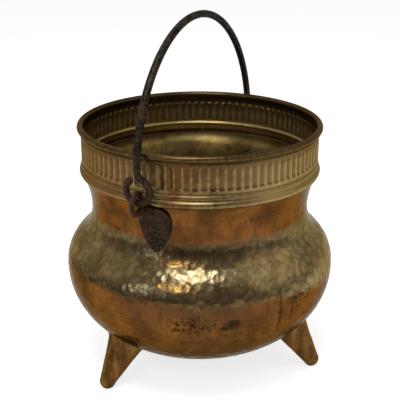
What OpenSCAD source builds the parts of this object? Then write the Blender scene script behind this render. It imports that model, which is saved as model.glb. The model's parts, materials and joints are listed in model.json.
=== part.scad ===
// Footed coal bucket: a raised brass pot, a fluted collar with a wired rim, three cone feet
// and a wrought-iron bail linked through the eyes of two forged lugs.
// Millimetres, +Z up. The origin is on the floor under the pot's axis, and the bail
// swings about a line along X.

/* [Pot] */
// Radius of the belly where it is widest
belly_r = 172; // [160:0.5:182]
// Height of the widest line of the belly above the floor
belly_z = 140; // [130:1:155]
// Depth of the bowl below the widest line
bowl_depth = 118; // [110:1:122]
// Fullness of the bowl, where 2 is an ellipse and more is squarer
bowl_fullness = 2.17; // [2:0.01:2.3]
// Radius of the curve that turns the belly into the shoulder
shoulder_r = 53; // [48:1:58]
// Radius of the neck where it is narrowest
neck_r = 137.5; // [134:0.5:141]
// Radius of the hollow curve between shoulder and neck
hollow_r = 45.5; // [42:0.5:52]
// Radius of the curve by which the neck flares to its lip
flare_r = 104; // [96:1:115]
// Height of the lip above the narrowest line of the neck
lip_rise = 47.5; // [45:0.5:50]
// Thickness of the pot's sheet
pot_wall = 1.5; // [1:0.1:2]

/* [Collar] */
// Height of the collar from the middle of its lower bead to the top of the rim
collar_h = 58; // [57:0.5:64]
// Thickness of the collar's sheet
collar_wall = 1.2; // [0.9:0.1:1.4]
// Outside radius of the half-round bead round the lip
bead_r = 5; // [4.6:0.1:5.3]
// Outside radius of the rolled rim in section
roll_r = 3.9; // [3.5:0.1:4.5]
// Radius of the two small round mouldings
moulding_r = 1.3; // [1:0.1:1.5]
// Depth of the groove that makes the inner ledge
groove_depth = 1.1; // [0.8:0.1:1.3]
// How far the inner ledge stands in from the wall
ledge_reach = 2.2; // [1.5:0.1:2.8]
// Number of flutes round the collar
flute_count = 96; // [72:4:96]
// Height of a flute
flute_h = 28; // [22:1:28]
// Radius of the round tool that pressed the flutes
flute_r = 6.9; // [5.5:0.1:7]
// Depth of a flute
flute_depth = 1.3; // [0.8:0.1:1.5]

/* [Feet] */
// How far inside the belly's widest line each foot's tip stands
foot_tip_inset = 17; // [12:1:27]
// Radius of a foot's round tip
foot_tip_r = 10.5; // [8:0.5:12]
// Radius of a foot at its root, inside the bowl's outline
foot_root_r = 24.5; // [22:0.5:26]
// How far inside the belly's widest line the middle of a foot's root lies
foot_root_inset = 52; // [47:1:57]
// Height of the root's middle above the bowl's bottom
foot_root_rise = 39; // [36:1:44]
// Depth of the worn flat under each foot
foot_wear = 0.6; // [0.3:0.1:1.5]
// Direction of the left foot round the pot, in degrees from +X
foot_turn = 156; // [150:1:162]

/* [Lugs] */
// Half the width of a lug's plate
plate_half_w = 20.5; // [19.5:0.5:22]
// Height of a lug's plate
plate_h = 58; // [54:1:62]
// Thickness of a lug's plate
plate_t = 3; // [2.4:0.1:3.6]
// Middle radius of a lug's eye
eye_r = 11.2; // [10.8:0.1:11.8]
// Radius of the iron in the eye
eye_rod_r = 3.8; // [3.4:0.1:4]
// Angle by which the front plate was set to one side of its eye
front_turn = 3.2; // [0:0.1:5]
// Angle by which the rear plate was set to one side of its eye
rear_turn = 2.1; // [0:0.1:5]
// Distance between the two rivets of a lug
rivet_spacing = 28; // [24:0.5:29]
// Radius of a rivet's shank
rivet_r = 2.5; // [2:0.1:2.8]
// Radius of a rivet's inner head
rivet_head_r = 3.8; // [3.5:0.1:4.6]

/* [Bail] */
// Height of the bail's crown above the hinge line, to the middle of the rod
bail_rise = 167.5; // [160:0.5:185]
// Radius of the bail's rod
bail_rod_r = 4.6; // [4.4:0.1:5]
// Length of the straight leg between the bend and the arch
bail_leg = 8; // [5:0.5:20]
// Angle at which the legs splay outwards towards the loops
bail_splay = 8; // [4:0.5:12]
// Angle up the arch at which the side curve turns into the crown curve
crown_angle = 44; // [40:1:60]
// Angle at which the bail was left standing off the upright
bail_lean = 1.7; // [0:0.1:4]
// Middle radius of the loop at each end
loop_r = 14.6; // [14.2:0.1:15.2]
// Radius of the rod where it is drawn down for the loop
loop_rod_r = 4.1; // [3.8:0.1:4.2]
// Radius of the bend between leg and loop
bend_r = 8; // [7:0.5:10]
// Angle at which the loop's tip stops short of the leg
loop_tip = 114; // [108:1:140]

/* [Clearances] */
// Gap between pieces that are brazed, riveted or folded together
seat_gap = 0.1; // [0.05:0.01:0.15]
// Running gap between a bail's loop and the eye that it hangs in
link_gap = 0.35; // [0.3:0.05:0.6]
// Gap between a lug's eye and the collar's bead
eye_gap = 2; // [0.5:0.1:4]

/* [Hidden] */
$fn = 144;

BRASS = "#a5813a";
COPPERY_BRASS = "#a8783c";
IRON = "#3a302b";

// Pot: the hollow curve touches the shoulder curve, which fixes the height of the neck
bottom_z = belly_z - bowl_depth;
curve_gap = shoulder_r + hollow_r;
neck_z = belly_z + sqrt(pow(curve_gap, 2) - pow(neck_r + curve_gap - belly_r, 2));
touch_angle = acos((neck_r + curve_gap - belly_r) / curve_gap);
lip_z = neck_z + lip_rise;
bowl_steps = 16;
curve_steps = 8;

// Collar: its radius follows the lip, which stands inside the hollow bead
lip_overhang = 0.95;
bead_rise = 1;
roll_overhang = 0.5;
lower_moulding_rise = 9.8;
moulding_sink = 0.6;
moulding_step = 0.9;
groove_rise = 2.4;
groove_land = 0.4;
ledge_rise = 0.8;
upper_moulding_drop = 2.8;
flute_rise = 0.7;
lip_r = neck_face(lip_z, 0);
collar_r = lip_r - lip_overhang;
core_r = collar_r - collar_wall;
bead_z = lip_z + bead_rise;
bead_start = -60;
bead_end = 62;
bead_core_r = bead_r - collar_wall;
bead_x = neck_face(bead_z + bead_core_r * sin(bead_start), seat_gap) - bead_core_r * cos(bead_start);
rim_z = bead_z + collar_h;
roll_z = rim_z - roll_r;
roll_x = collar_r + roll_overhang;
wire_r = roll_r - collar_wall - seat_gap;
lower_moulding_z = bead_z + lower_moulding_rise;
groove_z = lower_moulding_z + groove_rise;
upper_moulding_z = roll_z - roll_r - upper_moulding_drop;
flute_z = (groove_z + upper_moulding_z) / 2 + flute_rise;
flute_end = 3;
seam_angle = 118;
seam_depth = 0.5;
roll_end = 235;

// Feet
foot_tip_x = belly_r - foot_tip_inset;
foot_tip_z = foot_tip_r - foot_wear;
foot_root_x = belly_r - foot_root_inset;
foot_root_z = bottom_z + foot_root_rise;
foot_lean = atan2(foot_root_x - foot_tip_x, foot_root_z - foot_tip_z);
foot_len = norm([foot_root_x - foot_tip_x, foot_root_z - foot_tip_z]);
foot_flare = 3;

// Lugs: the eye stands just clear of the bead, on an arm from the top of the plate
plate_drop = 4.5;
plate_crown = 20;
plate_top_z = lip_z - plate_drop;
plate_mid_z = plate_top_z - plate_crown;
arm_inset = 1.4;
arm_z = plate_top_z - arm_inset;
arm_drop = 3;
arm_r = 5.2;
arm_taper = 0.2;
eye_x = bead_x + bead_r + eye_gap + eye_r + eye_rod_r;
eye_z = arm_z + eye_r;
rivet_drop = 14;
rivet_head_h = 1.8;
rivet_z = plate_top_z - rivet_drop;
rivet_turn = rivet_spacing / 2 / neck_face(rivet_z, 0) * 180 / PI;

// Bail: its loops bear inwards on the eyes, and turn about their own middles
hinge_z = eye_z + loop_r;
bail_x = eye_x - (eye_r - eye_rod_r - loop_rod_r - link_gap);
bend_angle = acos(bend_r / (bend_r + loop_r));
bend_z = hinge_z + (bend_r + loop_r) * sin(bend_angle);
spring_x = bail_x - bail_leg * sin(bail_splay);
spring_z = bend_z + bail_leg * cos(bail_splay);
crown_share = (1 - sin(crown_angle)) / cos(crown_angle);
side_share = sin(crown_angle) - sin(bail_splay)
    + (1 - sin(crown_angle)) * (1 - cos(bail_splay) / cos(crown_angle));
side_r = (hinge_z + bail_rise - spring_z - spring_x * crown_share) / side_share;
side_x = spring_x - side_r * cos(bail_splay);
side_z = spring_z - side_r * sin(bail_splay);
crown_r = side_r + side_x / cos(crown_angle);
crown_z = hinge_z + bail_rise - crown_r;
lap = 0.7;
lap_step = 0.1;
leg_foot_r = loop_rod_r - lap_step;

// Radius of the neck's outer face at height z, moved out by t
function neck_face(z, t) =
    let (curve = z < neck_z ? hollow_r : flare_r)
    neck_r + curve - sqrt(pow(curve - t, 2) - pow(z - neck_z, 2));

// Points on an arc round [x, z], from angle a to angle b
function arc(x, z, r, a, b, n) =
    [for (i = [0 : n]) let (t = a + (b - a) * i / n) [x + r * cos(t), z + r * sin(t)]];

// Outline of the pot from the bottom's middle to the lip, moved out by t
function bowl_curve(t) = [for (i = [0 : bowl_steps])
    let (a = 90 * i / bowl_steps)
    [(belly_r + t) * pow(sin(a), 2 / bowl_fullness),
     belly_z - (bowl_depth + t) * pow(cos(a), 2 / bowl_fullness)]];
function shoulder_curve(t) =
    arc(belly_r - shoulder_r, belly_z, shoulder_r + t, touch_angle / curve_steps, touch_angle,
        curve_steps - 1);
function hollow_curve(t) =
    arc(neck_r + hollow_r, neck_z, hollow_r - t, 180 + touch_angle * (1 - 1 / curve_steps), 180,
        curve_steps - 1);
function flare_curve(t) = [for (i = [1 : curve_steps])
    let (z = neck_z + lip_rise * i / curve_steps) [neck_face(z, t), z]];
function pot_curve(t) = concat(bowl_curve(t), shoulder_curve(t), hollow_curve(t), flare_curve(t));
function reversed(points) = [for (i = [len(points) - 1 : -1 : 0]) points[i]];

// The pot's outside as a filled solid, moved out by t, to seat other pieces on
module pot_body(t) {
    rotate_extrude()
        polygon(concat(pot_curve(t), [[0, lip_z]]));
}

// Puts a piece on the neck at height z, turned round the pot, with +Z square to the face
module on_neck(turn, z) {
    curve = z < neck_z ? hollow_r : flare_r;
    rotate([0, 0, turn])
        translate([neck_face(z, 0), 0, z])
            rotate([0, 90 + asin((z - neck_z) / curve), 0])
                children();
}

module pot() {
    color(COPPERY_BRASS)
    difference() {
        rotate_extrude()
            polygon(concat(pot_curve(0), reversed(pot_curve(-pot_wall))));
        rivet_holes(180 + front_turn);
        rivet_holes(rear_turn);
    }
}

// Outline of the collar's outside, from the foot of the bead up to the roll
function collar_outside() = concat(
    arc(bead_x, bead_z, bead_r, bead_start, bead_end, 8),
    [[collar_r - groove_depth / 2, lower_moulding_z - moulding_r - moulding_step]],
    arc(collar_r - moulding_sink, lower_moulding_z, moulding_r, -60, 60, 4),
    arc(collar_r, groove_z, groove_depth, -120, -240, 4),
    [[collar_r, groove_z + groove_depth + groove_land],
     [collar_r, upper_moulding_z - moulding_r]],
    arc(collar_r, upper_moulding_z, moulding_r, -60, 60, 4),
    [[collar_r, upper_moulding_z + moulding_r]]);
// Outline of the roll, with the seam where its edge comes back to the sheet
function roll_outside() = concat(
    arc(roll_x, roll_z, roll_r, -75, seam_angle - 10, 16),
    arc(roll_x, roll_z, roll_r - seam_depth, seam_angle, seam_angle, 1),
    arc(roll_x, roll_z, roll_r, seam_angle + 10, roll_end, 9));
// Outline of the space inside the collar, with the notch that leaves the ledge
function collar_core() = concat(
    [[0, bead_z - bead_r]],
    arc(bead_x, bead_z, bead_core_r, bead_start - 20, bead_end, 8),
    [[core_r, lower_moulding_z - moulding_r - moulding_step]],
    arc(core_r, groove_z + ledge_rise, ledge_reach, 270, 90, 8),
    [[core_r, roll_z - roll_r],
     [roll_x - roll_r - roll_overhang, roll_z - roll_r / 3],
     [0, roll_z - roll_r / 3]]);

// The round bars that pressed the flutes, round a face of radius face_r
module flute_bars(face_r) {
    for (i = [0 : flute_count - 1])
        rotate([0, 0, (i + 0.5) * 360 / flute_count])
            translate([face_r + flute_r - flute_depth, 0, flute_z])
                rotate_extrude($fn = 24)
                    polygon([[0, -flute_h / 2 - flute_end / 2],
                        [flute_r - 1.5 * flute_depth, -flute_h / 2 - flute_end / 2],
                        [flute_r, -flute_h / 2 + flute_end],
                        [flute_r, flute_h / 2 - flute_end],
                        [flute_r - 1.5 * flute_depth, flute_h / 2 + flute_end / 2],
                        [0, flute_h / 2 + flute_end / 2]]);
}

module collar() {
    color(BRASS)
    difference() {
        rotate_extrude()
            difference() {
                polygon(concat([[0, bead_z], [bead_x, bead_z]], collar_outside(), roll_outside(),
                    [[0, roll_z + roll_r * sin(roll_end)]]));
                translate([roll_x, roll_z])
                    circle(wire_r + seat_gap, $fn = 48);
            }
        flute_bars(collar_r);
        difference() {
            rotate_extrude()
                polygon(collar_core());
            flute_bars(core_r);
        }
    }
}

module rim_wire() {
    color(IRON)
    rotate_extrude()
        translate([roll_x, roll_z])
            circle(wire_r, $fn = 48);
}

// A foot turned on its own axis, from its round tip up to the root
function foot_outline() = concat(
    [for (i = [0 : curve_steps]) let (a = 90 * i / curve_steps)
        [foot_tip_r * sin(a), -foot_tip_r * cos(a)]],
    [for (i = [1 : curve_steps]) let (s = i / curve_steps)
        [foot_tip_r + (foot_root_r - foot_tip_r) * s + foot_flare * pow(s, 6), foot_len * s]],
    [[0, foot_len]]);

module foot(turn) {
    color(BRASS)
    difference() {
        rotate([0, 0, turn])
            translate([foot_tip_x, 0, foot_tip_z])
                rotate([0, foot_lean, 0])
                    rotate_extrude($fn = 96)
                        polygon(foot_outline());
        pot_body(seat_gap);
        translate([0, 0, -foot_tip_r])
            cylinder(h = foot_tip_r, r = foot_tip_x + 2 * foot_tip_r);
    }
}

// Half the plate's width at height v above its point
function plate_w(v) =
    let (low = plate_mid_z - plate_top_z + plate_h)
    v < low ? plate_half_w * sin(90 * pow(v / low, 0.75))
        : plate_half_w * pow(1 - pow((v - low) / (plate_h - low), 2.6), 1 / 2.6);
plate_steps = 20;
function plate_side(side) = [for (i = [0 : plate_steps])
    let (v = plate_h * (1 - cos(180 * i / plate_steps)) / 2)
    [side * plate_w(v), plate_top_z - plate_h + v]];

module plate_prism() {
    rotate([90, 0, 90])
        linear_extrude(neck_r + 3 * plate_h)
            polygon(concat([[0, plate_top_z - plate_h]],
                [for (i = [1 : plate_steps - 1]) plate_side(1)[i]],
                [[0, plate_top_z]],
                [for (i = [plate_steps - 1 : -1 : 1]) plate_side(-1)[i]]));
}

module plate() {
    steps = 12;
    low = plate_top_z - plate_h - plate_t;
    high = plate_top_z + plate_t;
    face = [for (i = [0 : steps])
        let (z = low + (high - low) * i / steps) [neck_face(z, plate_t + seat_gap), z]];
    intersection() {
        rotate([0, 0, -15])
            rotate_extrude(angle = 30)
                polygon(concat([[neck_r - plate_h / 4, low]], face, [[neck_r - plate_h / 4, high]]));
        plate_prism();
    }
}

module cone_between(a, b, r_a, r_b) {
    d = b - a;
    translate(a)
        rotate([0, acos(d.z / norm(d)), atan2(d.y, d.x)])
            cylinder(h = norm(d), r1 = r_a, r2 = r_b, $fn = 64);
}

module rivet_holes(turn) {
    for (side = [-1, 1])
        on_neck(turn + side * rivet_turn, rivet_z)
            translate([0, 0, -3 * pot_wall])
                cylinder(h = 3 * pot_wall + 3 * plate_t, r = rivet_r + seat_gap, $fn = 48);
}

// A lug at +X: its plate is set to one side by the angle turn
module lug(turn) {
    root_x = neck_face(arm_z - arm_drop, -pot_wall);
    color(IRON)
    difference() {
        union() {
            rotate([0, 0, turn])
                plate();
            cone_between([root_x * cos(turn), root_x * sin(turn), arm_z - arm_drop],
                [eye_x - 0.6 * eye_rod_r, 0, arm_z + arm_taper], arm_r, eye_rod_r - arm_taper);
            translate([eye_x, 0, eye_z])
                rotate([90, 0, 0])
                    rotate_extrude($fn = 96)
                        translate([eye_r, 0])
                            circle(eye_rod_r, $fn = 48);
        }
        pot_body(seat_gap);
        rivet_holes(turn);
    }
}

// A rivet: domed head inside the neck, shank through neck and plate, end peened flush
module rivet() {
    under = -pot_wall - seat_gap;
    rotate_extrude($fn = 48)
        polygon([[0, under - rivet_head_h],
            [rivet_head_r * 0.6, under - rivet_head_h * 0.85],
            [rivet_head_r, under - rivet_head_h * 0.3],
            [rivet_head_r, under],
            [rivet_r, under],
            [rivet_r, plate_t + seat_gap],
            [0, plate_t + 3 * seat_gap]]);
}

module rivets(turn) {
    color(IRON)
    for (side = [-1, 1])
        on_neck(turn + side * rivet_turn, rivet_z)
            rivet();
}

// Part of a ring in the XZ plane, from angle a to angle b. Each length of the bail's rod laps
// into the next, which is a hair thicker, so that they join without a seam between equal faces.
module bow(r, rod_r, a, b) {
    rotate([90, 0, 0])
        rotate_extrude(angle = b - a, start = a)
            translate([r, 0])
                circle(rod_r, $fn = 48);
}

function lap_angle(r) = lap / r * 180 / PI;

// The loop at +X: the rod bends aside, goes round below and stops short of the leg
module bail_loop() {
    translate([bail_x, 0, 0])
        rotate([0, 0, 90]) {
            translate([bend_r, 0, bend_z])
                bow(bend_r, loop_rod_r + lap_step, 180, 180 + bend_angle);
            translate([0, 0, hinge_z])
                bow(loop_r, loop_rod_r, loop_tip, 360 + bend_angle + lap_angle(loop_r));
        }
    translate([bail_x, 0, bend_z])
        rotate([0, -bail_splay, 0])
            translate([0, 0, -lap])
                cylinder(h = bail_leg + 2 * lap, r1 = leg_foot_r, r2 = bail_rod_r - lap_step, $fn = 48);
}

module bail() {
    color(IRON)
    translate([0, 0, hinge_z])
        rotate([-bail_lean, 0, 0])
            translate([0, 0, -hinge_z]) {
                for (half = [0, 180])
                    rotate([0, 0, half]) {
                        bail_loop();
                        translate([side_x, 0, side_z])
                            bow(side_r, bail_rod_r, bail_splay, crown_angle + lap_angle(side_r));
                    }
                translate([0, 0, crown_z])
                    bow(crown_r, bail_rod_r + lap_step, crown_angle, 180 - crown_angle);
            }
}

pot();
collar();
rim_wire();
foot(foot_turn);  // foot_left
foot(foot_turn + 120);  // foot_right
foot(foot_turn - 120);  // foot_back
rotate([0, 0, 180]) lug(front_turn);  // lug_front
lug(rear_turn);  // lug_rear
rivets(180 + front_turn);  // rivets_front
rivets(rear_turn);  // rivets_rear
bail();
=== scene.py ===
# %% [markdown]
# # A footed coal bucket in patinated brass
#
# The bucket is a pot that was raised and planished by hand, with a pressed and fluted collar round
# its mouth, three cast feet, and a wrought-iron bail linked through two riveted lugs. This lesson
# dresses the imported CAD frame: each visible piece gets a finer mesh of the same form, and each
# metal its own procedural finish. Lengths are in metres, and MM turns millimetres into them.

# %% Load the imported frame
import json
import math

import bmesh
import bpy
import numpy as np
from mathutils import Matrix, Quaternion, Vector


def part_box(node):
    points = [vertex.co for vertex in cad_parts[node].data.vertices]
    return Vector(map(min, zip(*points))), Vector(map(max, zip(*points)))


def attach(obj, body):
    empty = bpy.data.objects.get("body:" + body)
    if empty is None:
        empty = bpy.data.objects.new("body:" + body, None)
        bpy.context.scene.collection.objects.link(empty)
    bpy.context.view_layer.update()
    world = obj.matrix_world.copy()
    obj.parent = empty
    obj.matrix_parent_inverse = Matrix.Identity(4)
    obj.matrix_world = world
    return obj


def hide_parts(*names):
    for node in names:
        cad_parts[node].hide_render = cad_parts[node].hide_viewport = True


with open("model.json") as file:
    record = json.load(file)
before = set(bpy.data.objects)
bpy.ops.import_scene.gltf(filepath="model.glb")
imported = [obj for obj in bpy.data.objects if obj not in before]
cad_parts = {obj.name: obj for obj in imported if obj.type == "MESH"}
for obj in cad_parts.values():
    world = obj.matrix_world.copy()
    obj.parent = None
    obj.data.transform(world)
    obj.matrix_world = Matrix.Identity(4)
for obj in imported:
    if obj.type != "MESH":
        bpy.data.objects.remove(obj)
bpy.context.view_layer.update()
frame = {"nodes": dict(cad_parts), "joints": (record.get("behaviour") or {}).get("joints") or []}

MM = 0.001
print("nodes", sorted(frame["nodes"]))

# %% [markdown]
# ## The camera
#
# The photograph was taken from a little above the rim, with a long lens. The camera stands where
# the rim's ellipse, the belly and the feet all fall on the right pixels of the 400 by 400 image.

# %% Camera
FOCAL_PX = 843
IMAGE_PX = 400
CAMERA_DISTANCE = 1087 * MM
CAMERA_PITCH = math.radians(20.95)
CAMERA_TURN = math.radians(204.36)
CAMERA_ROLL = math.radians(0.1)
IMAGE_RIGHT = Vector((-math.sin(CAMERA_TURN), math.cos(CAMERA_TURN), 0))
LOOK_AT = Vector((0, 0, 214.3 * MM)) + IMAGE_RIGHT * 0.26 * MM

outward = Vector((math.cos(CAMERA_PITCH) * math.cos(CAMERA_TURN),
                  math.cos(CAMERA_PITCH) * math.sin(CAMERA_TURN),
                  math.sin(CAMERA_PITCH)))
camera = bpy.data.objects.new("camera", bpy.data.cameras.new("camera"))
bpy.context.scene.collection.objects.link(camera)
camera.location = LOOK_AT + outward * CAMERA_DISTANCE
aim = (-outward).to_track_quat("-Z", "Y") @ Quaternion((0, 0, 1), CAMERA_ROLL)
camera.rotation_euler = aim.to_euler()
camera.data.sensor_width = 36
camera.data.lens = camera.data.sensor_width * FOCAL_PX / IMAGE_PX
bpy.context.scene.camera = camera
print("camera at", [round(v, 4) for v in camera.location], "lens", round(camera.data.lens, 2))

# %% [markdown]
# ## Helpers
#
# Colours are picked as sRGB hex values and turned to linear light by one function. A second
# function adds a node with its settings and its links, which keeps each material readable.

# %% Colour and node helpers
def linear(hex_colour):
    """An sRGB hex colour as linear RGBA."""
    parts = [int(hex_colour[i:i + 2], 16) / 255 for i in (1, 3, 5)]
    return [p / 12.92 if p <= 0.04045 else ((p + 0.055) / 1.055) ** 2.4 for p in parts] + [1]


def add(tree, kind, values=None, **settings):
    """Adds a node; values maps an input to a number, a colour or the socket that feeds it."""
    made = tree.nodes.new(kind)
    for name, value in settings.items():
        setattr(made, name, value)
    for key, value in (values or {}).items():
        socket = made.inputs[key]
        if isinstance(value, bpy.types.NodeSocket):
            tree.links.new(value, socket)
        else:
            socket.default_value = value
    return made


def new_material(name):
    """A material with an empty node tree."""
    made = bpy.data.materials.new(name)
    made.use_nodes = True
    made.node_tree.nodes.clear()
    return made


# %% Pattern helpers
def noise(tree, place, size, detail=5.0, roughness=0.6):
    """Noise with patches about size metres across."""
    return add(tree, "ShaderNodeTexNoise", {"Vector": place, "Scale": 1 / size, "Detail": detail,
               "Roughness": roughness}).outputs["Fac"]


def stretched(tree, place, across, down):
    """Coordinates in which noise of size 1 is across wide and down tall on the object."""
    return add(tree, "ShaderNodeMapping", {"Vector": place,
               "Scale": (1 / across, 1 / across, 1 / down)}).outputs[0]


def remap(tree, value, low, high, to_low=0.0, to_high=1.0, kind="SMOOTHSTEP"):
    """A value taken from one range to another, and held at its ends."""
    return add(tree, "ShaderNodeMapRange", {"Value": value, "From Min": low, "From Max": high,
               "To Min": to_low, "To Max": to_high}, interpolation_type=kind).outputs[0]


def maths(tree, operation, *values):
    """One sum on numbers or sockets."""
    return add(tree, "ShaderNodeMath", dict(enumerate(values)), operation=operation).outputs[0]


def mix(tree, share, low, high):
    """Two colours, as hex or sockets, mixed by a share."""
    low, high = (linear(c) if isinstance(c, str) else c for c in (low, high))
    return add(tree, "ShaderNodeMix", {0: share, 6: low, 7: high}, data_type="RGBA").outputs[2]


def patch(tree, angle, height, waver, turn, half_turn, middle, half_height):
    """1 within a patch of the wall and 0 beyond it, with a border that wavers."""
    aside = maths(tree, "DIVIDE", maths(tree, "SUBTRACT", angle, math.radians(turn - 180)),
                  math.radians(half_turn))
    above = maths(tree, "DIVIDE", maths(tree, "SUBTRACT", height, middle), half_height)
    off = maths(tree, "SQRT", maths(tree, "MULTIPLY_ADD", aside, aside,
                                    maths(tree, "MULTIPLY", above, above)))
    return remap(tree, maths(tree, "MULTIPLY_ADD", waver, 1.6, off), 1.9, 1.3)


# %% [markdown]
# ## The finishes
#
# Old brass is golden only where it is rubbed. Elsewhere it has an olive-brown tarnish, with dark
# pits and drips along the line where the copper colour of the bowl begins. The copper colour of the
# neck, and of the bowl below that line, is a painted reflection of a warm floor. All of that is
# painted by noise in Object coordinates, at sizes taken from the photo.

# %% Hammered brass, for the pot
MARK_SIZE = 8 * MM
MARK_SEED = 3.0
RIGHT_OF_VIEW = Vector((0.41, -0.91, 0))


def hammered_brass():
    """Raised and planished brass: olive belly, a painted warm floor reflection on neck and bowl, pits
    along its line.
    """
    made = new_material("planished_brass_patina")
    tree = made.node_tree
    place = add(tree, "ShaderNodeTexCoord").outputs["Object"]
    parts = add(tree, "ShaderNodeSeparateXYZ", {0: place}).outputs
    height = parts["Z"]
    angle = maths(tree, "ARCTAN2", maths(tree, "MULTIPLY", parts["Y"], -1.0),
                  maths(tree, "MULTIPLY", parts["X"], -1.0))
    clouds = noise(tree, place, 38 * MM)
    mottle = noise(tree, place, 9 * MM, roughness=0.7)
    flecks = noise(tree, place, 2.4 * MM, detail=3.0)
    drips = noise(tree, stretched(tree, place, 4 * MM, 30 * MM), 1.0, roughness=0.7)
    rings = noise(tree, stretched(tree, place, 40 * MM, 1.6 * MM), 1.0, detail=3.0)
    side = add(tree, "ShaderNodeVectorMath", {0: place, 1: RIGHT_OF_VIEW},
               operation="DOT_PRODUCT").outputs["Value"]
    # Olive tarnish, cloudy and mottled, with purple-brown stains, and painted paler towards the right
    # of the view, a painted glow of soft light from that side
    olive = mix(tree, remap(tree, clouds, 0.32, 0.68), "#6a5738", "#917d55")
    olive = mix(tree, remap(tree, side, 10 * MM, 130 * MM, 0.0, 0.45), olive, "#a38f62")
    olive = mix(tree, remap(tree, flecks, 0.5, 0.66, 0.0, 0.4), olive, "#ad9868")
    olive = mix(tree, remap(tree, mottle, 0.54, 0.68, 0.0, 0.65), olive, "#4a382b")
    # Darker along the ridges between the hammer marks
    ridge = add(tree, "ShaderNodeAttribute", attribute_name="ridge").outputs["Fac"]
    olive = mix(tree, remap(tree, ridge, 0.62, 0.95, 0.0, 0.38), olive, "#4a3a22")
    # Painted reflection of a warm floor, copper-coloured with stains: on the neck, and on the bowl
    # below a line that falls to one side
    warm_reflection_and_stains = mix(tree, remap(tree, clouds, 0.36, 0.64), "#4e3015", "#774a1e")
    warm_reflection_and_stains = mix(tree, remap(tree, rings, 0.5, 0.72, 0.0, 0.4), warm_reflection_and_stains, "#8c5f2c")
    warm_reflection_and_stains = mix(tree, remap(tree, drips, 0.5, 0.66, 0.0, 0.65), warm_reflection_and_stains, "#40321f")
    warm_reflection_and_stains = mix(tree, remap(tree, flecks, 0.54, 0.66, 0.0, 0.5), warm_reflection_and_stains, "#4b3119")
    # Painted dark reflection, growing darker towards the bottom of the bowl
    dark_underside_reflection = remap(tree, height, 118 * MM, 62 * MM, 0.0, 0.6)
    warm_reflection_and_stains = mix(tree, dark_underside_reflection, warm_reflection_and_stains, "#2e2010")
    waver = maths(tree, "MULTIPLY_ADD", clouds, 10 * MM, maths(tree, "MULTIPLY", mottle, 12 * MM))
    reflection_line = remap(tree, side, 90 * MM, 174 * MM, 149 * MM, 128 * MM, "LINEAR")
    over_reflection_line = maths(tree, "SUBTRACT", maths(tree, "SUBTRACT", height, reflection_line),
                      maths(tree, "SUBTRACT", waver, 9.5 * MM))
    # Near the line and towards the middle of the view, the painted reflection is darker brown
    off_middle = remap(tree, maths(tree, "ABSOLUTE", side), 45 * MM, 100 * MM, 0.55, 0.0)
    browner_middle = maths(tree, "MULTIPLY", remap(tree, over_reflection_line, -34 * MM, -8 * MM), off_middle)
    browner_middle = maths(tree, "MULTIPLY", browner_middle, remap(tree, over_reflection_line, 20 * MM, 10 * MM))
    warm_reflection_and_stains = mix(tree, browner_middle, warm_reflection_and_stains, "#42311e")
    # The line is sharp on one side and fades on the other
    fade = maths(tree, "MULTIPLY", remap(tree, side, -60 * MM, 0.0, 2 * MM, 10 * MM),
                 remap(tree, side, 60 * MM, 120 * MM, 1.0, 0.4))
    bowl = remap(tree, maths(tree, "DIVIDE", over_reflection_line, fade), 1.0, -1.0)
    outside = maths(tree, "SUBTRACT", 1.0, add(tree, "ShaderNodeAttribute",
                                               attribute_name="inside").outputs["Fac"])
    over_neck = maths(tree, "SUBTRACT", height, waver)
    neck = remap(tree, over_neck, 196 * MM, 206 * MM)
    warm = maths(tree, "MULTIPLY", maths(tree, "MAXIMUM", neck, bowl), outside)
    # Painted dark reflections along both bands, the lower one mostly where its line is sharp, the
    # upper one strongest in the middle of the view
    low_edge = maths(tree, "MULTIPLY", remap(tree, over_reflection_line, -12 * MM, -6 * MM),
                     remap(tree, over_reflection_line, 16 * MM, 3 * MM))
    low_edge = maths(tree, "MULTIPLY", low_edge, remap(tree, side, 20 * MM, -60 * MM, 0.28, 0.85))
    high_edge = maths(tree, "MULTIPLY", remap(tree, over_neck, 207 * MM, 199 * MM),
                      remap(tree, over_neck, 176 * MM, 196 * MM, 0.0, 0.75))
    high_edge = maths(tree, "MULTIPLY", high_edge, remap(
        tree, maths(tree, "ABSOLUTE", side), 30 * MM, 110 * MM, 1.0, 0.4))
    edges = maths(tree, "MAXIMUM", low_edge, high_edge)
    olive = mix(tree, edges, olive, "#38291b")
    body = mix(tree, warm, olive, warm_reflection_and_stains)
    # Inside, the metal is painted paler: painted light for the dim inside of the pot, over cloudy
    # streaks and drips
    streaks_with_painted_light = mix(tree, remap(tree, clouds, 0.36, 0.62), "#6a5630", "#927b46")
    streaks_with_painted_light = mix(tree, remap(tree, drips, 0.5, 0.66, 0.0, 0.4), streaks_with_painted_light, "#5e4f2e")
    # Painted shade under the collar's ledge, just below the lip
    shaded = remap(tree, height, 250 * MM, 259 * MM, 0.0, 0.8)
    body = mix(tree, outside, mix(tree, shaded, streaks_with_painted_light, "#32240f"), body)
    # Smudges of soot, and a painted shadow on the neck just beside the front lug
    soot_and_lug_shadow = patch(tree, angle, height, mottle, 179, 5, 140 * MM, 13 * MM)
    for turn, half_turn, middle, half_height in ((208, 5, 99, 14), (218, 4, 109, 6), (176, 9, 201, 8)):
        soot_and_lug_shadow = maths(tree, "MAXIMUM", soot_and_lug_shadow, patch(tree, angle, height, mottle, turn, half_turn,
                                                  middle * MM, half_height * MM))
    body = mix(tree, maths(tree, "MULTIPLY", soot_and_lug_shadow, 0.28), body, "#35271a")
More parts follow.
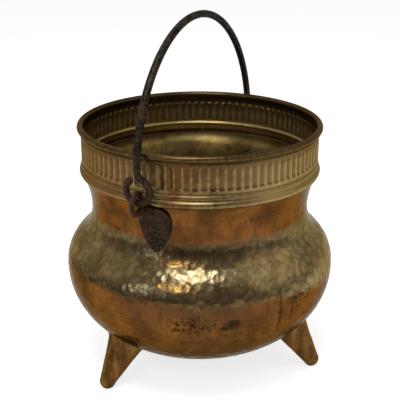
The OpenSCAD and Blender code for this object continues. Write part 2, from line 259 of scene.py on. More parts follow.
    # Pits, blots and drips where the metal was eaten
    grain = noise(tree, place, 4.5 * MM, roughness=0.8)
    pits = remap(tree, grain, 0.51, 0.55)
    wide = maths(tree, "MAXIMUM", patch(tree, angle, height, mottle, 200, 14, 125 * MM, 17 * MM),
                 patch(tree, angle, height, mottle, 249, 11, 141 * MM, 9 * MM))
    wide = maths(tree, "MAXIMUM", wide, patch(tree, angle, height, mottle, 246, 2.5, 163 * MM, 9 * MM))
    eaten = maths(tree, "MULTIPLY", pits, wide)
    blot = patch(tree, angle, height, flecks, 217.5, 3.8, 126 * MM, 7 * MM)
    blot = maths(tree, "MAXIMUM", blot, patch(tree, angle, height, flecks, 214, 2, 121 * MM, 4 * MM))
    dotted = remap(tree, grain, 0.43, 0.52, 0.3, 1.0)
    long_drip = patch(tree, angle, height, flecks, 237.8, 0.9, 128 * MM, 34 * MM)
    short_drip = patch(tree, angle, height, flecks, 243.8, 0.7, 124 * MM, 13 * MM)
    long_drip = maths(tree, "MULTIPLY", long_drip, dotted)
    short_drip = maths(tree, "MULTIPLY", short_drip, dotted)
    for mark, strength in ((blot, 0.8), (long_drip, 0.85), (short_drip, 0.8)):
        eaten = maths(tree, "MAXIMUM", eaten, maths(tree, "MULTIPLY", mark, strength))
    colour = mix(tree, eaten, body, "#1d150d")
    rough = remap(tree, mottle, 0.35, 0.68, 0.19, 0.35, "LINEAR")
    rough = maths(tree, "ADD", rough, remap(tree, outside, 1.0, 0.0, 0.0, 0.15, "LINEAR"))
    # The hammer marks of the geometry again, which sharpens the ridges between them
    reach = add(tree, "ShaderNodeTexVoronoi", {"Vector": place, "W": MARK_SEED,
                "Scale": 1 / MARK_SIZE, "Randomness": 0.85},
                voronoi_dimensions="4D").outputs["Distance"]
    dish = maths(tree, "POWER", remap(tree, reach, 0.0, 0.75, kind="LINEAR"), 2.0)
    dish = maths(tree, "MULTIPLY", dish, remap(tree, height, 190 * MM, 212 * MM, 1.0, 0.3))
    skin = maths(tree, "MULTIPLY_ADD", noise(tree, place, 3 * MM, detail=4.0), 0.6, dish)
    strength = remap(tree, outside, 0.0, 1.0, 0.2, 0.6, "LINEAR")
    bump = add(tree, "ShaderNodeBump", {"Height": skin, "Strength": strength,
               "Distance": 0.4 * MM}).outputs[0]
    shader = add(tree, "ShaderNodeBsdfPrincipled", {"Base Color": colour, "Metallic": 0.92,
                 "Roughness": rough, "Specular Tint": linear("#c2b6a4"), "Normal": bump})
    add(tree, "ShaderNodeOutputMaterial", {"Surface": shader.outputs[0]})
    return made


# %% Pressed brass, for the collar
def pressed_brass():
    """Thin pressed strip, polished long ago: olive in the hollows, paler on the edges, with painted
    highlights, reflections and shade.
    """
    made = new_material("pressed_brass_old_polish")
    tree = made.node_tree
    place = add(tree, "ShaderNodeTexCoord").outputs["Object"]
    clouds = noise(tree, place, 26 * MM)
    mottle = noise(tree, place, 5 * MM, roughness=0.7)
    body = mix(tree, remap(tree, clouds, 0.4, 0.6), "#553a1e", "#6f5935")
    body = mix(tree, remap(tree, mottle, 0.5, 0.72, 0.0, 0.6), body, "#917c4e")
    warmed = noise(tree, place, 60 * MM, detail=3.0)
    body = mix(tree, remap(tree, warmed, 0.48, 0.6, 0.0, 0.6), body, "#71471f")
    # Greenish dark spots of a few millimetres, most of them on the rim
    height = add(tree, "ShaderNodeSeparateXYZ", {0: place}).outputs["Z"]
    rim = remap(tree, height, 308 * MM, 314 * MM, 0.35, 0.9)
    side = add(tree, "ShaderNodeVectorMath", {0: place, 1: RIGHT_OF_VIEW},
               operation="DOT_PRODUCT").outputs["Value"]
    # Painted reflection: the strip is paler towards both sides of the view
    body = mix(tree, remap(tree, side, 10 * MM, 90 * MM, 0.0, 0.7), body, "#a08a5a")
    body = mix(tree, remap(tree, side, -30 * MM, -100 * MM, 0.0, 0.35), body, "#8d7348")
    # Painted shade: darker on the upper flutes, just under the roll and its moulding
    body = mix(tree, remap(tree, height, 300 * MM, 307 * MM, 0.0, 0.6), body, "#472f17")
    body = mix(tree, remap(tree, height, 311 * MM, 316 * MM, 0.0, 0.8), body, "#3f2a14")
    spots = remap(tree, noise(tree, place, 6 * MM, roughness=0.75), 0.55, 0.64)
    body = mix(tree, maths(tree, "MULTIPLY", spots, rim), body, "#2f2916")
    # Dirt stays in the flutes and grooves. The high lines are painted paler, partly as wear and partly
    # as a painted highlight
    hollow = add(tree, "ShaderNodeAttribute", attribute_name="hollow").outputs["Fac"]
    inside = add(tree, "ShaderNodeAttribute", attribute_name="inside").outputs["Fac"]
    # Inside the strip, painted light makes the lower part paler, and painted shade darkens it towards
    # the roll
    within = mix(tree, remap(tree, height, 292 * MM, 304 * MM), "#a8905a", "#6f5a35")
    within = mix(tree, remap(tree, height, 303 * MM, 308 * MM, 0.0, 0.8), within, "#40331d")
    body = mix(tree, inside, body, within)
    dirty = mix(tree, hollow, body, "#4d381b")
    edge = add(tree, "ShaderNodeAttribute", attribute_name="edge").outputs["Fac"]
    worn_and_highlit = maths(tree, "MULTIPLY", edge, remap(tree, mottle, 0.38, 0.62, 0.15, 1.3))
    colour = mix(tree, worn_and_highlit, dirty, "#a5946a")
    rough = remap(tree, mottle, 0.35, 0.68, 0.26, 0.44, "LINEAR")
    bump = add(tree, "ShaderNodeBump", {"Height": mottle, "Strength": 0.25,
               "Distance": 0.2 * MM}).outputs[0]
    shader = add(tree, "ShaderNodeBsdfPrincipled", {"Base Color": colour, "Metallic": 0.92,
                 "Roughness": rough, "Specular Tint": linear("#c2b6a4"), "Normal": bump})
    add(tree, "ShaderNodeOutputMaterial", {"Surface": shader.outputs[0]})
    return made


# %% Cast brass, for the feet
def cast_brass():
    """Cast and filed brass: a pebbly skin of 2 mm, with dull dark casting spots."""
    made = new_material("cast_brass_filed")
    tree = made.node_tree
    place = add(tree, "ShaderNodeTexCoord").outputs["Object"]
    clouds = noise(tree, place, 20 * MM)
    pebbles = noise(tree, place, 2.4 * MM, detail=4.0)
    sheen_and_shade_streaks = noise(tree, stretched(tree, place, 10 * MM, 90 * MM), 1.0, detail=3.0)
    body = mix(tree, remap(tree, clouds, 0.36, 0.64), "#4a3016", "#6d4922")
    # Pale and dark streaks down each foot: a painted highlight streak and painted shade
    body = mix(tree, remap(tree, sheen_and_shade_streaks, 0.46, 0.66, 0.0, 0.55), body, "#846636")
    body = mix(tree, remap(tree, sheen_and_shade_streaks, 0.5, 0.34, 0.0, 0.5), body, "#3a2913")
    pits = remap(tree, pebbles, 0.58, 0.7, 0.0, 0.55)
    colour = mix(tree, pits, body, "#281d10")
    rough = remap(tree, clouds, 0.35, 0.65, 0.2, 0.36, "LINEAR")
    bump = add(tree, "ShaderNodeBump", {"Height": pebbles, "Strength": 0.25,
               "Distance": 0.35 * MM}).outputs[0]
    shader = add(tree, "ShaderNodeBsdfPrincipled", {"Base Color": colour, "Metallic": 0.92,
                 "Roughness": rough, "Specular Tint": linear("#c2b6a4"), "Normal": bump})
    add(tree, "ShaderNodeOutputMaterial", {"Surface": shader.outputs[0]})
    return made


# %% Forged iron, for the bail, lugs, rivets and wire
def forged_iron():
    """Hand-forged iron: brown-black scale, grey where it is handled, with rust in patches."""
    made = new_material("forged_iron_scale_and_rust")
    tree = made.node_tree
    place = add(tree, "ShaderNodeTexCoord").outputs["Object"]
    patches = noise(tree, place, 13 * MM)
    scale = noise(tree, place, 2.6 * MM, roughness=0.7)
    body = mix(tree, remap(tree, scale, 0.4, 0.62), "#0e0b08", "#3c362b")
    # Rust is thickest round the links, where the iron never dries
    height = add(tree, "ShaderNodeSeparateXYZ", {0: place}).outputs["Z"]
    near_links = maths(tree, "MULTIPLY", remap(tree, height, 228 * MM, 246 * MM),
                       remap(tree, height, 304 * MM, 288 * MM))
    patchy = maths(tree, "MULTIPLY", remap(tree, patches, 0.46, 0.62, 0.05, 0.75),
                   remap(tree, height, 300 * MM, 330 * MM, 1.0, 0.5))
    rust_mask = maths(tree, "MAXIMUM", patchy, maths(
        tree, "MULTIPLY", near_links, remap(tree, patches, 0.36, 0.56, 0.3, 0.85)))
    rust = mix(tree, remap(tree, scale, 0.34, 0.66), "#20130a", "#512f18")
    colour = mix(tree, rust_mask, body, rust)
    colour = mix(tree, remap(tree, noise(tree, place, 1.7 * MM, roughness=0.8), 0.56, 0.62, 0.0, 0.7),
                 colour, "#0f0a06")
    # The middles of the peened rivets are worn
    worn = add(tree, "ShaderNodeAttribute", attribute_name="worn").outputs["Fac"]
    colour = mix(tree, maths(tree, "MULTIPLY", worn, 0.3), colour, "#8c7a52")
    metal = remap(tree, rust_mask, 0.0, 0.8, 0.75, 0.1, "LINEAR")
    rough = remap(tree, scale, 0.3, 0.7, 0.6, 0.36, "LINEAR")
    # The bail is smooth where hands have worn it, above the rim
    strength = remap(tree, height, 296 * MM, 326 * MM, 0.9, 0.3)
    bump = add(tree, "ShaderNodeBump", {"Height": scale, "Strength": strength,
               "Distance": 1.3 * MM}).outputs[0]
    shader = add(tree, "ShaderNodeBsdfPrincipled", {"Base Color": colour, "Metallic": metal,
                 "Roughness": rough, "Specular Tint": linear("#93826a"), "Normal": bump})
    add(tree, "ShaderNodeOutputMaterial", {"Surface": shader.outputs[0]})
    return made


PLANISHED = hammered_brass()
PRESSED = pressed_brass()
CAST = cast_brass()
FORGED = forged_iron()
print("materials", [m.name for m in (PLANISHED, PRESSED, CAST, FORGED)])

# %% [markdown]
# ## Turning a section into a mesh
#
# The pot, the feet and the rivets are all turned forms: a section from axis to axis, spun round.
# The section is written as arcs and formulas, then spaced evenly along its length, so that the
# hammer marks find the same fineness of mesh everywhere.

# %% Section helpers
def arc(x, z, r, start, end, count):
    """Points on an arc round (x, z), from angle start to angle end in degrees."""
    turn = np.radians(np.linspace(start, end, count))
    return np.column_stack([x + r * np.cos(turn), z + r * np.sin(turn)])


def spaced(points, count):
    """The same polyline with count points, evenly spaced along it."""
    points = np.asarray(points, float)
    along = np.concatenate([[0], np.cumsum(np.linalg.norm(np.diff(points, axis=0), axis=1))])
    want = np.linspace(0, along[-1], count)
    return np.column_stack([np.interp(want, along, points[:, i]) for i in (0, 1)])


def mesh_object(name, points, faces):
    """An object from points and faces, with its faces turned outwards."""
    points = np.asarray(points, float)
    mesh = bpy.data.meshes.new(name)
    mesh.from_pydata([tuple(p) for p in points], [], [tuple(f) for f in faces])
    mesh.calc_loop_triangles()
    corners = np.array([t.vertices for t in mesh.loop_triangles])
    a, b, c = (points[corners[:, i]] for i in range(3))
    if np.einsum("ij,ij->", a, np.cross(b, c)) < 0:
        mesh.flip_normals()
    mesh.update()
    made = bpy.data.objects.new(name, mesh)
    bpy.context.scene.collection.objects.link(made)
    return made


def turned(section, steps):
    """Points and faces of a section spun about Z; its two ends lie on the axis."""
    rings = np.asarray(section[1:-1])
    angles = np.arange(steps) * 2 * np.pi / steps
    points = [(0, 0, section[0][1])]
    for r, z in rings:
        points += list(zip(r * np.cos(angles), r * np.sin(angles), np.full(steps, z)))
    points.append((0, 0, section[-1][1]))
    last = len(points) - 1
    faces = []
    for j in range(steps):
        k = (j + 1) % steps
        faces.append((0, 1 + k, 1 + j))
        for i in range(len(rings) - 1):
            low = 1 + i * steps
            faces.append((low + j, low + k, low + steps + k, low + steps + j))
        top = 1 + (len(rings) - 1) * steps
        faces.append((top + j, top + k, last))
    return np.array(points), faces


def store(piece, name, values):
    """Keeps one number per point on a piece, for nodes to read."""
    layer = piece.data.attributes.new(name, "FLOAT", "POINT")
    layer.data.foreach_set("value", np.asarray(values, np.float32))


# %% [markdown]
# ## Hammer marks by Geometry Nodes
#
# Planishing leaves small shallow dishes that meet in soft ridges. A Voronoi texture gives just that:
# inside each cell the distance to its centre grows to the border. The tree pushes each point in by
# a dish-shaped amount, stores how near it is to a ridge, and sets the material.

# %% The hammering tree
def hammer_tree():
    """Geometry Nodes that dent a surface inwards: inputs for the marks' size, depth and seed."""
    tree = bpy.data.node_groups.new("hammer_marks", "GeometryNodeTree")
    face = tree.interface
    face.new_socket("Geometry", in_out="INPUT", socket_type="NodeSocketGeometry")
    for name, value in (("Mark size", 12 * MM), ("Mark depth", 0.25 * MM), ("Seed", 1.0),
                        ("Wobble size", 70 * MM), ("Wobble depth", 0.5 * MM)):
        face.new_socket(name, in_out="INPUT", socket_type="NodeSocketFloat").default_value = value
    face.new_socket("Material", in_out="INPUT", socket_type="NodeSocketMaterial")
    face.new_socket("Geometry", in_out="OUTPUT", socket_type="NodeSocketGeometry")
    given = add(tree, "NodeGroupInput").outputs
    place = add(tree, "GeometryNodeInputPosition").outputs[0]
    normal = add(tree, "GeometryNodeInputNormal").outputs[0]
    beat = add(tree, "GeometryNodeInputNamedAttribute", {"Name": "beat"},
               data_type="FLOAT").outputs[0]
    fineness = add(tree, "ShaderNodeMath", {0: 1.0, 1: given["Mark size"]},
                   operation="DIVIDE").outputs[0]
    reach = add(tree, "ShaderNodeTexVoronoi", {"Vector": place, "W": given["Seed"],
                "Scale": fineness, "Randomness": 0.85},
                voronoi_dimensions="4D").outputs["Distance"]
    ridge = add(tree, "ShaderNodeMapRange", {"Value": reach, "From Max": 0.75}).outputs[0]
    dish = add(tree, "ShaderNodeMath", {0: ridge, 1: ridge}, operation="MULTIPLY").outputs[0]
    dent = add(tree, "ShaderNodeMath", {0: 1.0, 1: dish}, operation="SUBTRACT").outputs[0]
    deep = add(tree, "ShaderNodeMath", {0: dent, 1: given["Mark depth"]},
               operation="MULTIPLY").outputs[0]
    coarse = add(tree, "ShaderNodeMath", {0: 1.0, 1: given["Wobble size"]},
                 operation="DIVIDE").outputs[0]
    wobble = add(tree, "ShaderNodeTexNoise", {"Vector": place, "Scale": coarse,
                 "Detail": 1.0}).outputs[0]
    sway = add(tree, "ShaderNodeMath", {0: wobble, 1: given["Wobble depth"], 2: deep},
               operation="MULTIPLY_ADD").outputs[0]
    inwards = add(tree, "ShaderNodeMath", {0: sway, 1: beat}, operation="MULTIPLY").outputs[0]
    back = add(tree, "ShaderNodeMath", {0: inwards, 1: -1.0}, operation="MULTIPLY").outputs[0]
    push = add(tree, "ShaderNodeVectorMath", {0: normal, "Scale": back},
               operation="SCALE").outputs[0]
    kept = add(tree, "GeometryNodeStoreNamedAttribute", {"Geometry": given["Geometry"],
               "Name": "ridge", "Value": ridge}, data_type="FLOAT", domain="POINT").outputs[0]
    moved = add(tree, "GeometryNodeSetPosition", {"Geometry": kept, "Offset": push}).outputs[0]
    smooth = add(tree, "GeometryNodeSetShadeSmooth", {"Geometry": moved}).outputs[0]
    real = add(tree, "GeometryNodeRealizeInstances", {"Geometry": smooth}).outputs[0]
    painted = add(tree, "GeometryNodeSetMaterial", {"Geometry": real,
                  "Material": given["Material"]}).outputs[0]
    add(tree, "NodeGroupOutput", {0: painted})
    return tree


def run_tree(piece, tree, **inputs):
    """Runs a tree on an object and returns a plain mesh object with the result."""
    modifier = piece.modifiers.new("shape", "NODES")
    modifier.node_group = tree
    for item in tree.interface.items_tree:
        key = item.name.lower().replace(" ", "_")
        if item.in_out == "INPUT" and key in inputs:
            modifier[item.identifier] = inputs[key]
    bpy.context.view_layer.update()
    seen = piece.evaluated_get(bpy.context.evaluated_depsgraph_get())
    mesh = bpy.data.meshes.new_from_object(seen)
    mesh.name = piece.name
    name = piece.name
    bpy.data.objects.remove(piece)
    made = bpy.data.objects.new(name, mesh)
    bpy.context.scene.collection.objects.link(made)
    made.data.validate()
    return made


HAMMER = hammer_tree()
print("hammer tree", len(HAMMER.nodes), "nodes")

# %% [markdown]
# ## The pot
#
# One sheet of brass, raised from a disc: a full bowl, a shoulder that rolls over into a hollow neck,
# and a lip that flares out to carry the collar. Outside and inside are the same curve, a sheet's
# thickness apart, so one closed section makes both.

# %% Pot section
POT_WALL = 1.5 * MM
BELLY_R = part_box("pot")[1].x
BELLY_Z = 140 * MM
BOTTOM_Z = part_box("pot")[0].z
LIP_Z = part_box("pot")[1].z
LIP_RISE = 47.5 * MM
NECK_Z = LIP_Z - LIP_RISE
NECK_R = 137.5 * MM
SHOULDER_R = 53 * MM
HOLLOW_R = 45.5 * MM
FLARE_R = 104 * MM
FULLNESS = 2.17


def neck_face(z, out=0.0):
    """Radius of the neck's face at height z, moved out by a distance."""
    curve = HOLLOW_R if z < NECK_Z else FLARE_R
    return NECK_R + curve - math.sqrt((curve - out) ** 2 - (z - NECK_Z) ** 2)


def pot_curve(out=0.0):
    """Outline of the pot from the bottom's middle to the lip, moved out by a distance."""
    turn = np.radians(np.linspace(0, 90, 240))
    bowl = np.column_stack([
        (BELLY_R + out) * np.sin(turn) ** (2 / FULLNESS),
        BELLY_Z - (BELLY_Z - BOTTOM_Z + out) * np.cos(turn).clip(0) ** (2 / FULLNESS)])
    reach = (NECK_R + HOLLOW_R - BELLY_R + SHOULDER_R) / (SHOULDER_R + HOLLOW_R)
    touch = math.degrees(math.acos(reach))
    shoulder = arc(BELLY_R - SHOULDER_R, BELLY_Z, SHOULDER_R + out, 0, touch, 60)[1:]
    hollow = arc(NECK_R + HOLLOW_R, NECK_Z, HOLLOW_R - out, 180 + touch, 180, 60)[1:]
    flare = [(neck_face(z, out), z) for z in np.linspace(NECK_Z, LIP_Z, 60)[1:]]
    return np.vstack([bowl, shoulder, hollow, flare])


# %% Pot mesh
POT_STEPS = 480
OUTSIDE_ROWS = 168
INSIDE_ROWS = 24

outside = spaced(pot_curve(), OUTSIDE_ROWS)
inside = spaced(pot_curve(-POT_WALL), INSIDE_ROWS)[::-1]
lip_edge = [((outside[-1][0] + inside[0][0]) / 2, LIP_Z)]
pot_points, pot_faces = turned(np.vstack([outside, lip_edge, inside]), POT_STEPS)
pot = mesh_object("pot_planished", pot_points, pot_faces)
pot_z = pot_points[:, 2]
# The marks are full on the belly, lighter on the neck and gone at the lip
full = np.interp(pot_z, [BOTTOM_Z, 120 * MM, 190 * MM, 215 * MM, LIP_Z - 4 * MM, LIP_Z],
                 [0.8, 1, 1, 0.55, 0.4, 0])
store(pot, "beat", full)
row_is_inside = np.repeat(np.arange(len(outside) + 1 + len(inside))[1:-1] > len(outside), POT_STEPS)
store(pot, "inside", np.concatenate([[0], row_is_inside, [1]]))
pot = run_tree(pot, HAMMER, mark_size=MARK_SIZE, mark_depth=0.36 * MM, seed=MARK_SEED,
               wobble_size=60 * MM, wobble_depth=0.2 * MM, material=PLANISHED)
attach(pot, "bucket")
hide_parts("pot")
print("pot", len(pot.data.polygons), "faces, widest", round(max(v.co.x for v in pot.data.vertices), 4))

# %% [markdown]
# ## The collar
#
# A strip of thin brass was rolled over a wire at the top, beaded, fluted by a press, and folded
# round the pot's lip. It repeats ninety-six times round the mouth, so the tree is given one
# flute's width of it and turns copies round the axis, then welds them into one skin.

# %% Collar section
COLLAR_WALL = 1.2 * MM
FLUTE_COUNT = 96
FLUTE_H = 28 * MM
FLUTE_END = 3 * MM
FLUTE_R = 6.9 * MM
FLUTE_RISE = 0.7 * MM
FLUTE_DEPTH = 1.3 * MM
ROLL_R = 3.9 * MM
BEAD_R = 5 * MM
MOULDING_R = 1.3 * MM
GROOVE_DEPTH = 1.1 * MM
LEDGE_REACH = 2.2 * MM
SEAM_ANGLE = 118
BEAD_START = -60
BEAD_END = 62

RIM_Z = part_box("collar")[1].z
ROLL_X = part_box("collar")[1].x - ROLL_R
ROLL_Z = RIM_Z - ROLL_R
COLLAR_R = ROLL_X - 0.5 * MM
CORE_R = COLLAR_R - COLLAR_WALL
BEAD_Z = LIP_Z + 1 * MM
BEAD_CORE_R = BEAD_R - COLLAR_WALL
seam_z = BEAD_Z + BEAD_CORE_R * math.sin(math.radians(BEAD_START))
BEAD_X = neck_face(seam_z, 0.1 * MM) - BEAD_CORE_R * math.cos(math.radians(BEAD_START))
LOWER_Z = BEAD_Z + 9.8 * MM
GROOVE_Z = LOWER_Z + 2.4 * MM
UPPER_Z = ROLL_Z - ROLL_R - 2.8 * MM
FLUTE_Z = (GROOVE_Z + UPPER_Z) / 2 + FLUTE_RISE


def flute_rows():
    """Heights of the mesh rows across the flutes, closer together where the flutes end."""
    half = np.array([0, 5, 9.5, 11, 12, 12.9, 13.6, 14.1, 14.6]) * MM
    return np.concatenate([FLUTE_Z - half[:0:-1], FLUTE_Z + half])


def collar_section():
    """The collar's closed section, up the outside, round the roll and down the inside."""
    up = [(COLLAR_R, z) for z in flute_rows()]
    return np.vstack([
        arc(BEAD_X, BEAD_Z, BEAD_R, BEAD_START, BEAD_END, 13),
        [(COLLAR_R - GROOVE_DEPTH / 2, LOWER_Z - MOULDING_R - 0.9 * MM)],
        arc(COLLAR_R - 0.6 * MM, LOWER_Z, MOULDING_R, -60, 60, 6),
        arc(COLLAR_R, GROOVE_Z, GROOVE_DEPTH, -120, -240, 6),
        [(COLLAR_R, GROOVE_Z + GROOVE_DEPTH + 0.4 * MM)],
        up,
        [(COLLAR_R, UPPER_Z - MOULDING_R)],
        arc(COLLAR_R, UPPER_Z, MOULDING_R, -60, 60, 6),
        [(COLLAR_R, UPPER_Z + MOULDING_R)],
        arc(ROLL_X, ROLL_Z, ROLL_R, -75, SEAM_ANGLE - 9, 17),
        arc(ROLL_X, ROLL_Z, ROLL_R - 0.7 * MM, SEAM_ANGLE, SEAM_ANGLE, 1),
        arc(ROLL_X, ROLL_Z, ROLL_R, SEAM_ANGLE + 9, 235, 9),
        [(CORE_R, ROLL_Z - ROLL_R)],
        [(CORE_R, z) for z in flute_rows()[::-1]],
        arc(CORE_R, GROOVE_Z + 0.8 * MM, LEDGE_REACH, 90, 270, 9),
        [(CORE_R, LOWER_Z - MOULDING_R - 0.9 * MM)],
        arc(BEAD_X, BEAD_Z, BEAD_CORE_R, BEAD_END, BEAD_START, 9)])


def flute_press(side, z):
    """How far a flute's round tool has pressed the wall in, side metres from its middle."""
    end = np.clip(np.abs(z - FLUTE_Z) - (FLUTE_H / 2 - FLUTE_END), 0, None)
    bar = FLUTE_R - FLUTE_DEPTH * end / FLUTE_END
    sag = np.sqrt(np.clip(bar ** 2 - side ** 2, 0, None)) - (FLUTE_R - FLUTE_DEPTH)
    return np.clip(sag, 0, None)


# %% One flute's width of the collar
pitch = 2 * math.pi / FLUTE_COUNT
half_pitch = pitch * COLLAR_R / 2
flute_half = math.sqrt(FLUTE_R ** 2 - (FLUTE_R - FLUTE_DEPTH) ** 2)
shares = np.array([0, 0.5, 0.84, 1])
sides = np.concatenate([[-half_pitch], -flute_half * shares[:0:-1], flute_half * shares, [half_pitch]])
section = collar_section()
on_wall = ((np.abs(section[:, 0] - COLLAR_R) < 0.01 * MM)
           | (np.abs(section[:, 0] - CORE_R) < 0.01 * MM))
strip_points, strip_faces, hollow, edge, inner = [], [], [], [], []
for (r, z), flat in zip(section, on_wall):
    for side in sides:
        press = float(flute_press(side, z)) if flat else 0.0
        turn = side / COLLAR_R
        strip_points.append(((r - press) * math.cos(turn), (r - press) * math.sin(turn), z))
        hollow.append(press / FLUTE_DEPTH)
        inner.append(float(r < CORE_R + 0.1 * MM))
        proud = r > COLLAR_R + 0.6 * MM
        ridge = flat and abs(side) > 0.98 * flute_half and abs(z - FLUTE_Z) < FLUTE_H / 2
        edge.append(0.1 if proud else 0.28 if ridge and r > CORE_R + 0.5 * COLLAR_WALL else 0.0)
width = len(sides)
for i in range(len(section)):
    k = (i + 1) % len(section)
    for j in range(width - 1):
        strip_faces.append((i * width + j, i * width + j + 1, k * width + j + 1, k * width + j))
strip_mesh = bpy.data.meshes.new("collar_fluted")
strip_mesh.from_pydata(strip_points, [], strip_faces)
collar = bpy.data.objects.new("collar_fluted", strip_mesh)
bpy.context.scene.collection.objects.link(collar)
store(collar, "hollow", np.array(hollow) * 0.6)
store(collar, "edge", edge)
store(collar, "inside", inner)
print("one flute:", len(strip_faces), "faces, pitch", round(2 * half_pitch / MM, 2), "mm")


# %% The tree that repeats the flute round the mouth
def round_tree():
    """Geometry Nodes that turn copies of a strip round Z and weld them into one ring."""
    tree = bpy.data.node_groups.new("strip_round_the_mouth", "GeometryNodeTree")
    face = tree.interface
    face.new_socket("Geometry", in_out="INPUT", socket_type="NodeSocketGeometry")
    face.new_socket("Count", in_out="INPUT", socket_type="NodeSocketInt").default_value = 12
    face.new_socket("Weld", in_out="INPUT", socket_type="NodeSocketFloat").default_value = 0.02 * MM
    face.new_socket("Material", in_out="INPUT", socket_type="NodeSocketMaterial")
    face.new_socket("Geometry", in_out="OUTPUT", socket_type="NodeSocketGeometry")
    given = add(tree, "NodeGroupInput").outputs
    points = add(tree, "GeometryNodePoints", {"Count": given["Count"]}).outputs[0]
    index = add(tree, "GeometryNodeInputIndex").outputs[0]
    share = add(tree, "ShaderNodeMath", {0: index, 1: given["Count"]},
                operation="DIVIDE").outputs[0]
    angle = add(tree, "ShaderNodeMath", {0: share, 1: 2 * math.pi},
                operation="MULTIPLY").outputs[0]
    turn = add(tree, "ShaderNodeCombineXYZ", {"Z": angle}).outputs[0]
    copies = add(tree, "GeometryNodeInstanceOnPoints", {"Points": points,
                 "Instance": given["Geometry"], "Rotation": turn}).outputs[0]
    real = add(tree, "GeometryNodeRealizeInstances", {"Geometry": copies}).outputs[0]
    welded = add(tree, "GeometryNodeMergeByDistance", {"Geometry": real,
                 "Distance": given["Weld"]}).outputs[0]
    smooth = add(tree, "GeometryNodeSetShadeSmooth", {"Geometry": welded}).outputs[0]
    painted = add(tree, "GeometryNodeSetMaterial", {"Geometry": smooth,
                  "Material": given["Material"]}).outputs[0]
    add(tree, "NodeGroupOutput", {0: painted})
    return tree


def face_outwards(piece):
    """Turns a closed mesh the right way out, by the sign of its volume."""
    skin = bmesh.new()
    skin.from_mesh(piece.data)
    bmesh.ops.recalc_face_normals(skin, faces=skin.faces)
    if skin.calc_volume(signed=True) < 0:
        bmesh.ops.reverse_faces(skin, faces=skin.faces)
    open_edges = sum(1 for e in skin.edges if len(e.link_faces) != 2)
    skin.to_mesh(piece.data)
    skin.free()
    return open_edges


collar = run_tree(collar, round_tree(), count=FLUTE_COUNT, weld=0.02 * MM, material=PRESSED)
print("collar", len(collar.data.polygons), "faces, open edges", face_outwards(collar))
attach(collar, "bucket")
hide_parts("collar")

# %% [markdown]
# ## The feet
#
# Each foot is a cast cone, scribed to the bowl and brazed on. Its mesh is turned about its own
# leaning axis, and every row's height is a share of the way from the tip to the bowl's face, so
# the root follows the bowl exactly and spreads there into a small fillet of braze.

# %% Feet
FOOT_STEPS = 72
FOOT_ROWS = 44
TIP_R = 10.5 * MM
ROOT_R = 24.5 * MM
FOOT_FLARE = 3 * MM
TIP_X = BELLY_R - 17 * MM
ROOT_X = BELLY_R - 52 * MM
TIP_Z = TIP_R - 0.6 * MM
ROOT_Z = BOTTOM_Z + 39 * MM
BRAZE = 1.6 * MM
ROOT_SINK = 0.7 * MM
FEET = {"foot_left": 156, "foot_right": 276, "foot_back": 36}

foot_up = Vector((ROOT_X - TIP_X, 0, ROOT_Z - TIP_Z))
FOOT_LEN = foot_up.length
foot_up.normalize()
foot_side = Vector((0, 1, 0))
foot_out = foot_side.cross(foot_up)
bowl_outline = pot_curve(0.02 * MM)


def inside_bowl(point, sink):
    """Whether a point lies inside the bowl's outer face, sunk by a distance."""
    r = math.hypot(point.x, point.y)
    z = min(point.z, BELLY_Z)
    a = BELLY_R - sink
    b = BELLY_Z - BOTTOM_Z - sink
    return (r / a) ** FULLNESS + ((BELLY_Z - z) / b) ** FULLNESS < 1


def foot_point(share, angle, width=1.0, more=0.0):
    """A point share of the way from the tip's middle to the root, on the cone made narrower."""
    r = (TIP_R + (ROOT_R - TIP_R) * share + FOOT_FLARE * share ** 6 + more) * width
    spread = foot_out * math.cos(angle) + foot_side * math.sin(angle)
    return Vector((TIP_X, 0, TIP_Z)) + foot_up * FOOT_LEN * share + spread * r


def reach_bowl(angle, width=1.0):
    """The share of the cone's length at which this line of it enters the bowl."""
    low, high = 0.0, 1.0
    for _ in range(24):
        middle = (low + high) / 2
        if inside_bowl(foot_point(middle, angle, width, BRAZE), ROOT_SINK):
            high = middle
        else:
            low = middle
    return high


